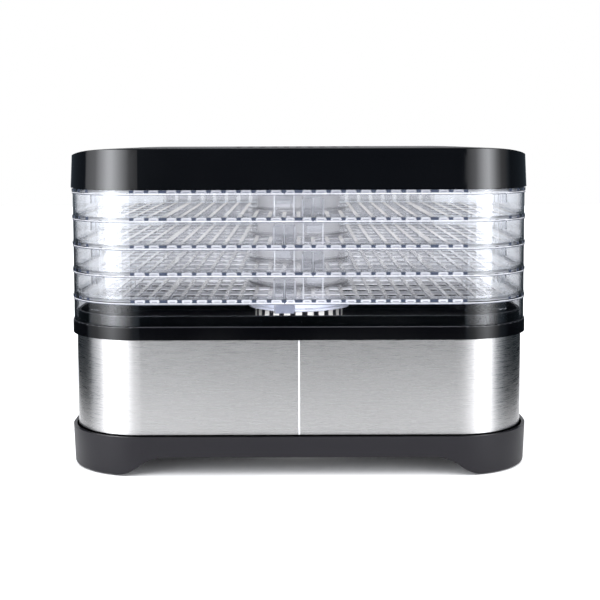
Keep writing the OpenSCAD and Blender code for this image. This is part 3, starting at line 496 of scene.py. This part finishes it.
# One material for each slot of the record
MATERIALS = {
    "black_gloss": material("black_gloss", (0.0012, 0.0012, 0.0018), 0.09, satin_tops, IOR=1.55),
    "clear_plastic": material(
        "clear_plastic", (0.98, 0.985, 1.0), 0.03,
        moulded((0.96, 0.97, 0.99), (0.985, 0.99, 1.0), 0.01, 0.05, 300.0, 0.03, 0.0003),
        IOR=CLEAR_IOR, Transmission_Weight=1.0),
    "brushed_steel": material(
        "brushed_steel", (0.60, 0.59, 0.58), 0.28,
        brushed((0.54, 0.53, 0.525), (0.66, 0.65, 0.645), 0.24, 0.34),
        Metallic=1.0, Anisotropic=0.75, Anisotropic_Rotation=0.25),
    "seam_metal": material(
        "seam_metal", (0.92, 0.92, 0.93), 0.4, brushed((0.88, 0.88, 0.9), (0.96, 0.96, 0.97), 0.35, 0.45)),
    "charcoal_plastic": material(
        "charcoal_plastic", (0.007, 0.006, 0.009), 0.42,
        moulded((0.006, 0.005, 0.008), (0.008, 0.007, 0.01), 0.38, 0.46, 3000.0, 0.12, 0.0002), IOR=1.4),
    "foot_rubber": material(
        "foot_rubber", (0.02, 0.02, 0.02), 0.8,
        moulded((0.016, 0.016, 0.016), (0.026, 0.026, 0.026), 0.75, 0.9, 1800.0, 0.3, 0.0003)),
    "turret_plastic": material("turret_plastic", (0.8, 0.79, 0.75), 0.35, turret_bars),
    "dark_plastic": material(
        "dark_plastic", (0.03, 0.03, 0.033), 0.5,
        moulded((0.025, 0.025, 0.028), (0.035, 0.035, 0.038), 0.45, 0.6, 2500.0, 0.1, 0.0002)),
    "zinc_screw": material(
        "zinc_screw", (0.72, 0.72, 0.74), 0.35,
        moulded((0.66, 0.66, 0.68), (0.78, 0.78, 0.8), 0.3, 0.45, 1500.0, 0.1, 0.0001), Metallic=1.0),
    "mica": material(
        "mica", (0.68, 0.62, 0.46), 0.55,
        moulded((0.6, 0.54, 0.4), (0.76, 0.7, 0.54), 0.5, 0.65, 700.0, 0.2, 0.0002)),
    "resistance_wire": material(
        "resistance_wire", (0.42, 0.38, 0.35), 0.4,
        moulded((0.36, 0.32, 0.3), (0.48, 0.43, 0.4), 0.35, 0.5, 900.0, 0.1, 0.0001), Metallic=1.0),
    "galvanised_metal": material(
        "galvanised_metal", (0.56, 0.57, 0.58), 0.42,
        moulded((0.46, 0.47, 0.49), (0.66, 0.67, 0.68), 0.35, 0.5, 220.0, 0.08, 0.0001), Metallic=1.0),
    "fan_plastic": material(
        "fan_plastic", (0.8, 0.8, 0.77), 0.4,
        moulded((0.77, 0.77, 0.74), (0.84, 0.84, 0.81), 0.35, 0.5, 1500.0, 0.05, 0.0002)),
    "circuit_board": material(
        "circuit_board", (0.02, 0.15, 0.07), 0.4,
        moulded((0.014, 0.12, 0.05), (0.03, 0.19, 0.09), 0.3, 0.5, 500.0, 0.1, 0.0001)),
    "component_plastic": material(
        "component_plastic", (0.04, 0.1, 0.28), 0.4,
        moulded((0.03, 0.08, 0.24), (0.05, 0.12, 0.33), 0.35, 0.5, 1500.0, 0.05, 0.0001)),
    "copper_winding": material(
        "copper_winding", (0.7, 0.43, 0.2), 0.35,
        moulded((0.62, 0.36, 0.16), (0.78, 0.5, 0.25), 0.3, 0.45, 1200.0, 0.15, 0.0002), Metallic=1.0),
    "ceramic_white": material(
        "ceramic_white", (0.84, 0.82, 0.75), 0.5,
        moulded((0.8, 0.78, 0.71), (0.88, 0.86, 0.79), 0.45, 0.6, 1500.0, 0.08, 0.0001)),
    "lens_dark": material(
        "lens_dark", (0.02, 0.022, 0.03), 0.06,
        moulded((0.016, 0.018, 0.025), (0.026, 0.028, 0.036), 0.04, 0.09, 900.0, 0.02, 0.0001)),
    "button_silver": material(
        "button_silver", (0.6, 0.6, 0.62), 0.32,
        moulded((0.56, 0.56, 0.58), (0.65, 0.65, 0.67), 0.28, 0.38, 2500.0, 0.08, 0.0001), Metallic=0.8),
}

# Clear pieces with a look of their own, by the last word of the node's name
CLEAR_LOOKS = {
    "floor": part_clear("tray_lattice", (0.97, 0.98, 1.0), lattice),
    "hub": part_clear("tray_hub", (0.98, 0.98, 0.99), hub_share),
}

# The fine pieces
EDGE_WHITE = see_through("edge_white", (0.95, 0.955, 1.0), 0.3, 0.9)
EDGE_PALE = see_through("edge_pale", (0.9, 0.91, 0.97), 0.25, 0.68)
EDGE_SOFT = see_through("edge_soft", (0.86, 0.87, 0.93), 0.25, 0.5)
EDGE_DIM = see_through("edge_dim", (0.66, 0.67, 0.74), 0.25, 0.5)
EDGE_FAINT = see_through("edge_faint", (0.85, 0.86, 0.92), 0.2, 0.16)
EDGE_WARM = see_through("edge_warm", (0.97, 0.95, 0.92), 0.25, 0.15)
FILM_GREY = see_through("film_grey", (0.58, 0.58, 0.62), 0.2, 0.36)
LINE_GREY = see_through("line_grey", (0.18, 0.19, 0.24), 0.3, 0.75)
NOTCH_BLUE = see_through("notch_blue", (0.07, 0.085, 0.13), 0.2, 0.86)
PAD_LAVENDER = see_through("pad_lavender", (0.62, 0.65, 0.8), 0.25, 0.85)
DISC_LAVENDER = see_through("disc_lavender", (0.8, 0.83, 0.94), 0.25, 0.9)
POLISH = polish("wall_polish", 0.045)
# A black that paints the shade in the gap between the steel and the foot ring
GAP_SHADE = material(
    "gap_shade_black", (0.002, 0.002, 0.002), 0.9,
    moulded((0.001, 0.001, 0.001), (0.003, 0.003, 0.003), 0.85, 0.95, 900.0, 0.05, 0.0001), IOR=1.05)
# A grey that paints the highlight along the top edges of band and tub
EDGE_HIGHLIGHT = material(
    "edge_highlight", (0.07, 0.07, 0.08), 0.35,
    moulded((0.055, 0.055, 0.065), (0.085, 0.085, 0.095), 0.3, 0.45, 900.0, 0.05, 0.0001))


def dress_nodes():
    """Gives every node of the part the material of its slot."""
    slot_of = {item["node"]: item["material_slot"] for item in frame["record"]["subparts"]}
    for name, obj in nodes.items():
        chosen = MATERIALS[slot_of[name]]
        if slot_of[name] == "clear_plastic":
            chosen = CLEAR_LOOKS.get(name.rpartition("_")[2], chosen)
        obj.data.materials.clear()
        obj.data.materials.append(chosen)


# ---------- shapes for the fine pieces ----------

CORNER_STEPS = 14
BOX_QUADS = ((0, 2, 3, 1), (4, 5, 7, 6), (0, 1, 5, 4), (2, 6, 7, 3), (0, 4, 6, 2), (1, 3, 7, 5))


def piece(name, verts, faces, look, body):
    """A mesh in millimetres that moves with a body of the part."""
    mesh = bpy.data.meshes.new(name)
    mesh.from_pydata([(x * MM, y * MM, z * MM) for x, y, z in verts], [], faces)
    mesh.validate()
    obj = bpy.data.objects.new(name, mesh)
    scene.collection.objects.link(obj)
    mesh.materials.append(look)
    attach(obj, body)


def outline(inset):
    """Points round the body's outline, drawn in by inset, from the front's right end."""
    r = CORNER - inset
    cx, cy = HALF_W - CORNER, HALF_D - CORNER
    run = []
    for sx, sy, start in ((1, -1, -90), (1, 1, 0), (-1, 1, 90), (-1, -1, 180)):
        for i in range(CORNER_STEPS + 1):
            a = math.radians(start + 90 * i / CORNER_STEPS)
            run.append((sx * cx + r * math.cos(a), sy * cy + r * math.sin(a)))
    return run


def belt(name, profile, look, body):
    """Carries a closed profile of (inset, height) points round the outline."""
    rings = [outline(inset) for inset, z in profile]
    count, size = len(rings[0]), len(profile)
    verts = [(*rings[j][i], profile[j][1]) for i in range(count) for j in range(size)]
    faces = []
    for i in range(count):
        for j in range(size):
            a, b = i * size + j, i * size + (j + 1) % size
            c, d = (i + 1) % count * size + (j + 1) % size, (i + 1) % count * size + j
            faces.append((a, d, c, b))
    piece(name, verts, faces, look, body)


def oblong(inset, thick, low, high):
    """The profile of a belt with upright walls."""
    return [(inset, low), (inset, high), (inset + thick, high), (inset + thick, low)]


def bend(name, radius, thick, bearings, low, high, look, body, whole=False):
    """A thin curved plate about the Z axis between two bearings from the front, and again half round.

    A whole one runs once all the way round instead.
    """
    verts, faces = [], []
    from_a, to_a = sorted(bearings)
    steps = 96 if whole else 24
    for turn in (0,) if whole else (0, 180):
        at = len(verts)
        for i in range(steps + 1):
            a = math.radians(from_a + (to_a - from_a) * i / steps + turn)
            for r, z in ((radius, low), (radius, high), (radius + thick, high), (radius + thick, low)):
                verts.append((r * math.sin(a), -r * math.cos(a), z))
        for i in range(steps):
            for j in range(4):
                a, b = at + i * 4 + j, at + i * 4 + (j + 1) % 4
                faces.append((a, b, b + 4, a + 4))
        faces += [(at, at + 3, at + 2, at + 1), tuple(at + steps * 4 + j for j in range(4))]
    piece(name, verts, faces, look, body)


class Boxes:
    """Collects small boxes into one mesh of clear plastic."""

    def __init__(self):
        self.verts, self.faces = [], []

    def close(self, verts):
        """Adds a box from its eight corners."""
        at = len(self.verts)
        self.verts += verts
        self.faces += [tuple(at + i for i in quad) for quad in BOX_QUADS]

    def add(self, x0, x1, y0, y1, z0, z1):
        self.close([(x, y, z) for z in (z0, z1) for y in (y0, y1) for x in (x0, x1)])

    def on_wall(self, wall, span, proud, sunk, z0, z1, turned=False):
        """A box along the wall at y = wall, or x = wall if turned, from sunk inside it to proud outside."""
        depth = sorted((wall + math.copysign(proud, wall), wall - math.copysign(sunk, wall)))
        in_x, in_y = (depth, span) if turned else (span, depth)
        self.add(*in_x, *in_y, z0, z1)

    def bent(self, x, y, radii, angles, z0, z1):
        """A box between two radii and two angles in degrees about a point."""
        turns = [math.radians(a) for a in angles]
        self.close([(x + r * math.cos(a), y + r * math.sin(a), z)
                    for z in (z0, z1) for a in turns for r in radii])

    def build(self, name, look, body):
        piece(name, self.verts, self.faces, look, body)


def around(middle, half):
    return middle - half, middle + half


# ---------- fine pieces of the trays ----------

# Rim skins: how far they stand proud and are sunk, the gap beside a notch and a thread's end in a block
PROUD, SUNK, THREAD_MORE = 0.12, 0.05, 0.03
BLOCK_GAP, THREAD_END = 0.5, 1.4
# From and to above the rim's foot: notches, blocks and the threads on them, the painted highlight line and
# the painted shade under it
NOTCH_Z, BLOCK_Z, THREAD_Z = (1.95, 4.25), (1.8, 4.35), (2.3, 2.9)
HIGHLIGHT_LINE_Z, SHADE_Z = (0.85, 1.45), (0.02, 0.5)


def rib_x(i):
    shift = WIDE_SHIFT if abs(i) > WIDE_RIB else WIDE_SHIFT / 2 if abs(i) == WIDE_RIB else 0.0
    return math.copysign(abs(i) * RIB_PITCH + shift, i)


def notch(i):
    """From and to of a notch on the front or rear."""
    return around(rib_x(i), (WIDE_NOTCH_W if abs(i) in (0, WIDE_RIB) else NOTCH_W) / 2)


def rim_details(k, base):
    """Blocks painted pale as lit between the notches of a rim, dark plates of painted shade in the notches,
    and a painted highlight line under them.
    """
    body = f"tray_{k}"
    low = base + TRAY_H - RIM_H

    def heights(span):
        return low + span[0], low + span[1]

    notches, blocks, threads = Boxes(), Boxes(), Boxes()
    front = [notch(i) for i in range(-LAST_RIB, LAST_RIB + 1)]
    flank = [around(i * RIB_PITCH, NOTCH_W / 2) for i in range(-LAST_SIDE_RIB, LAST_SIDE_RIB + 1)]
    for side in (-1, 1):
        for turned, wall, run in ((False, HALF_D, front), (True, HALF_W, flank)):
            wall = side * (wall - RIM_INSET)
            for span in run:
                notches.on_wall(wall, span, PROUD, SUNK, *heights(NOTCH_Z), turned)
            for before, after in zip(run, run[1:]):
                start, end = before[1] + BLOCK_GAP, after[0] - BLOCK_GAP
                blocks.on_wall(wall, (start, end), PROUD, SUNK, *heights(BLOCK_Z), turned)
                threads.on_wall(wall, (start + THREAD_END, end - THREAD_END),
                                PROUD + THREAD_MORE, SUNK + THREAD_MORE, *heights(THREAD_Z), turned)
    r = CORNER - RIM_INSET
    for sx in (-1, 1):
        for sy in (-1, 1):
            for step in range(CORNER_NOTCHES):
                turn = math.radians(CORNER_NOTCH_START + step * CORNER_NOTCH_STEP)
                angle = math.degrees(math.atan2(sy * math.sin(turn), sx * math.cos(turn)))
                notches.bent(sx * (HALF_W - CORNER), sy * (HALF_D - CORNER), (r - SUNK, r + PROUD),
                             around(angle, CORNER_NOTCH_HALF), *heights(NOTCH_Z))
    # Dark plates that paint the shade seen in the notches
    notches.build(f"rim_notches_{k}", NOTCH_BLUE, body)
    # The blocks carry painted light in three levels: palest on the bottom tray, dimmest on the top one
    blocks.build(f"rim_blocks_{k}", {1: EDGE_PALE, TRAYS: EDGE_DIM}.get(k, EDGE_SOFT), body)
    threads.build(f"rim_threads_{k}", LINE_GREY, body)
    edge = RIM_INSET - 0.08
    # A painted highlight along the rim's lower edge, and under it a grey line of painted shade
    belt(f"rim_highlight_{k}", oblong(edge, 0.5, *heights(HIGHLIGHT_LINE_Z)), EDGE_WHITE, body)
    belt(f"rim_shade_{k}", oblong(edge, 0.3, *heights(SHADE_Z)), LINE_GREY, body)


# How far the skins of a tongue, its face and the lines on the tray's wall stand proud and are sunk
TONGUE_SKIN, TONGUE_FACE, WALL_LINE = (0.1, 0.3), (0.05, 0.25), (0.04, 0.04)
# The width of a tongue's painted highlight edges, and how far above the rim its strips start
TONGUE_EDGE, TONGUE_START = 1.3, 0.4
# How far below the tongue's top its edges, middle rib and face end, and the bar across it ends and starts
EDGE_END, RIB_END, FACE_END, BAR_END, BAR_START = 2.4, 1.4, 0.9, 0.1, 0.9
# Half widths: middle rib, dark lines beside it, guides on the wall and dark lines on the bottom tray's tabs
RIB_HALF, LINE_HALF, GUIDE_HALF, TAB_LINE_HALF = 0.5, 0.2, 0.5, 0.35
# Where the dark lines stand from the middle and how high they rise, and how far the bar and pads are drawn in
LINE_X, LINE_RISE, BAR_IN, PAD_IN = 0.75, 8.5, 1.8, 0.5
# The arrow: half its width, and its top and tip below the tongue's foot
ARROW_HALF, ARROW_TOP, ARROW_TIP = 2.2, 1.0, 3.4
ARROW_PROUD, ARROW_T = 0.25, 0.3
ARROW_FACES = ((0, 1, 2), (5, 4, 3), (0, 3, 4, 1), (1, 4, 5, 2), (2, 5, 3, 0))


def tongue_details(k, base):
    """Painted highlights on the edges, bar and middle rib of the two tongues, the arrow at their feet and the
    tabs' faces.
    """
    body = f"tray_{k}"
    painted_highlights, faint, pads, guides, dark = Boxes(), Boxes(), Boxes(), Boxes(), Boxes()
    middle = TONGUE_X if k % 2 == 0 else -TONGUE_X
    foot, top = base + TRAY_H, base + TRAY_H + TONGUE_RISE
    start, under = foot + TONGUE_START, foot - RIM_H
    half, tab_half = TONGUE_W / 2, TONGUE_W / 2 - TONGUE_EDGE
    arrow_verts, arrow_faces = [], []
    for side in (-1, 1):
        tongue = side * (HALF_D - TONGUE_INSET)
        wall = side * (HALF_D - TRAY_INSET)
        for s in (-1, 1):
            edge = sorted((middle + s * half, middle + s * tab_half))
            painted_highlights.on_wall(tongue, edge, *TONGUE_SKIN, start, top - EDGE_END)
            line = around(middle + s * LINE_X, LINE_HALF)
            dark.on_wall(tongue, line, *TONGUE_SKIN, start, foot + LINE_RISE)
            x = middle + s * tab_half
            if k > 1:
                guides.on_wall(wall, around(x, GUIDE_HALF), *WALL_LINE, base + 0.8, under - 0.6)
            else:
                line = around(x, TAB_LINE_HALF)
                dark.on_wall(wall, line, *WALL_LINE, under - TAB_DROP + 0.3, under - 0.3)
        bar, pad = around(middle, half - BAR_IN), around(middle, tab_half - PAD_IN)
        painted_highlights.on_wall(tongue, bar, *TONGUE_SKIN, top - BAR_START, top - BAR_END)
        painted_highlights.on_wall(tongue, around(middle, RIB_HALF), *TONGUE_SKIN, start, top - RIB_END)
        faint.on_wall(tongue, around(middle, tab_half), *TONGUE_FACE, start, top - FACE_END)
        pads.on_wall(tongue, pad, *TONGUE_SKIN, under - TAB_DROP, under - 0.1)
        at = len(arrow_verts)
        front = side * (HALF_D - RIM_INSET + ARROW_PROUD)
        for depth in (front, front - side * ARROW_T):
            arrow_verts += [(middle - ARROW_HALF, depth, foot - ARROW_TOP),
                            (middle + ARROW_HALF, depth, foot - ARROW_TOP), (middle, depth, foot - ARROW_TIP)]
        # The front arrow's faces are turned round, so that they look outward as the rear one's do
        arrow_faces += [tuple(at + i for i in face[::side]) for face in ARROW_FACES]
    # Painted highlights on the tongue's edges, bar and middle rib
    painted_highlights.build(f"tongue_highlights_{k}", EDGE_WHITE, body)
    faint.build(f"tongue_faces_{k}", EDGE_FAINT, body)
    dark.build(f"tongue_lines_{k}", LINE_GREY, body)
    pads.build(f"tongue_tabs_{k}", PAD_LAVENDER if k == 1 else EDGE_FAINT, body)
    if k > 1:
        guides.build(f"tongue_guides_{k}", EDGE_SOFT, body)
    piece(f"tongue_arrows_{k}", arrow_verts, arrow_faces, NOTCH_BLUE, body)


# Half the width of a rear rib, the thickness of the tray's wall, and how far the ribs end from foot and rim
REAR_RIB_HALF, WALL_T, REAR_LOW, REAR_HIGH = 1.8, 1.9, 0.6, 0.4


def back_ribs(k, base):
    """Upright ribs inside the rear wall, in line with the ribs of the floor, and a film between them."""
    ribs, film = Boxes(), Boxes()
    y = HALF_D - TRAY_INSET - WALL_T
    low, high = base + REAR_LOW, base + TRAY_H - RIM_H - REAR_HIGH
    for i in range(-LAST_RIB, LAST_RIB + 1):
        ribs.add(*around(rib_x(i), REAR_RIB_HALF), y - 0.25, y, low, high)
        if i < LAST_RIB:
            gap = rib_x(i) + REAR_RIB_HALF, rib_x(i + 1) - REAR_RIB_HALF
            film.add(*gap, y - 0.12, y - 0.02, low, high)
    ribs.build(f"rear_ribs_{k}", EDGE_WARM, f"tray_{k}")
    film.build(f"rear_film_{k}", FILM_GREY, f"tray_{k}")


# The pale pads on a hub: bearings from the front, and from and to above the tray's foot
PAD_BEARINGS, PAD_Z = (11.5, 36.0), (3.3, 9.4)


def tray_pieces(k):
    """All fine pieces of one tray. The bottom tray's walls stay plain: the black tub shows through them."""
    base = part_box(f"tray_{k}")[0].z / MM
    rim_details(k, base)
    tongue_details(k, base)
    if k > 1:
        back_ribs(k, base)
        skin = oblong(TRAY_INSET - 0.06, 0.04, base + 0.4, base + TRAY_H - RIM_H - 0.2)
        belt(f"wall_polish_{k}", skin, POLISH, f"tray_{k}")
    turn = -1 if k % 2 else 1
    bearings = [turn * bearing for bearing in PAD_BEARINGS]
    low, high = (base + z for z in PAD_Z)
    bend(f"hub_pad_{k}", HUB_R + 0.06, 0.3, bearings, low, high, EDGE_WHITE, f"tray_{k}")


def flange_skin():
    """A pale skin over the bottom hub's flange and neck."""
    top = tray_base / MM + FLANGE_TOP
    for name, radius, thick, low, high in (
            ("flange_rim", FLANGE_R + 0.02, 0.12, top - 1.6, top + 0.05),
            ("flange_top", HUB_R + 0.1, FLANGE_R - HUB_R, top + 0.02, top + 0.1),
            ("flange_neck", HUB_R + 0.02, 0.1, top + 0.1, top + 7.5)):
        bend(name, radius, thick, (0, 360), low, high, DISC_LAVENDER, "tray_1", whole=True)


# Power of the strip behind the front wall and of the panel overhead, from the bottom tray up
STACK_POWERS = ((13.0, 0.19), (12.0, 0.2), (12.0, 0.22), (12.0, 0.24))


def stack_lamps():
    """Two lamps in each tray but the top one, just under the floor above it, and a strip for the turret."""
    for k, (strip, panel) in enumerate(STACK_POWERS, 1):
        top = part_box(f"tray_{k + 1}_floor")[0].z
        inner_fill(f"fill_{k}", -0.118, top - 2.0 * MM, (0.27, 0.003), 78, strip)
        overhead_fill(f"overhead_{k}", top - 0.6 * MM, panel)
    inner_fill("fill_turret", -0.112, 0.1445, (0.1, 0.004), 76, 16.0)


# Profiles round the base: name, inset and height of the edge that they lie on, then the points from there
BASE_EDGES = (
    # A black strip that paints the shade in the gap between the steel and the foot ring
    ("foot_gap_shade", STEEL_INSET, RING_TOP,
     ((-0.28, -3.0), (-0.28, 0.9), (-0.18, 1.1), (-0.01, 1.1), (-0.01, -3.0))),
    # Painted highlights along the top edges of band and tub
    ("band_edge_highlight", BAND_INSET, BAND_TOP,
     ((0.0, -0.95), (0.15, -0.25), (0.75, 0.08), (0.85, -0.2), (0.3, -0.95))),
    ("tub_edge_highlight", TUB_INSET, TUB_TOP,
     ((-0.02, -0.7), (0.25, -0.1), (0.8, 0.06), (0.8, -0.3), (0.2, -0.7))),
)


def base_edges():
    """A black strip of painted shade in the gap between the steel and the foot ring, and painted highlights
    along the top edges of band and tub.
    """
    for name, inset, top, profile in BASE_EDGES:
        look, slot = (GAP_SHADE, "dark_plastic") if name == "foot_gap_shade" else (EDGE_HIGHLIGHT, "black_gloss")
        belt(name, [(inset + x, top + z) for x, z in profile], look, "base")


dress_nodes()
for k in range(1, TRAYS + 1):
    tray_pieces(k)
flange_skin()
stack_lamps()
base_edges()
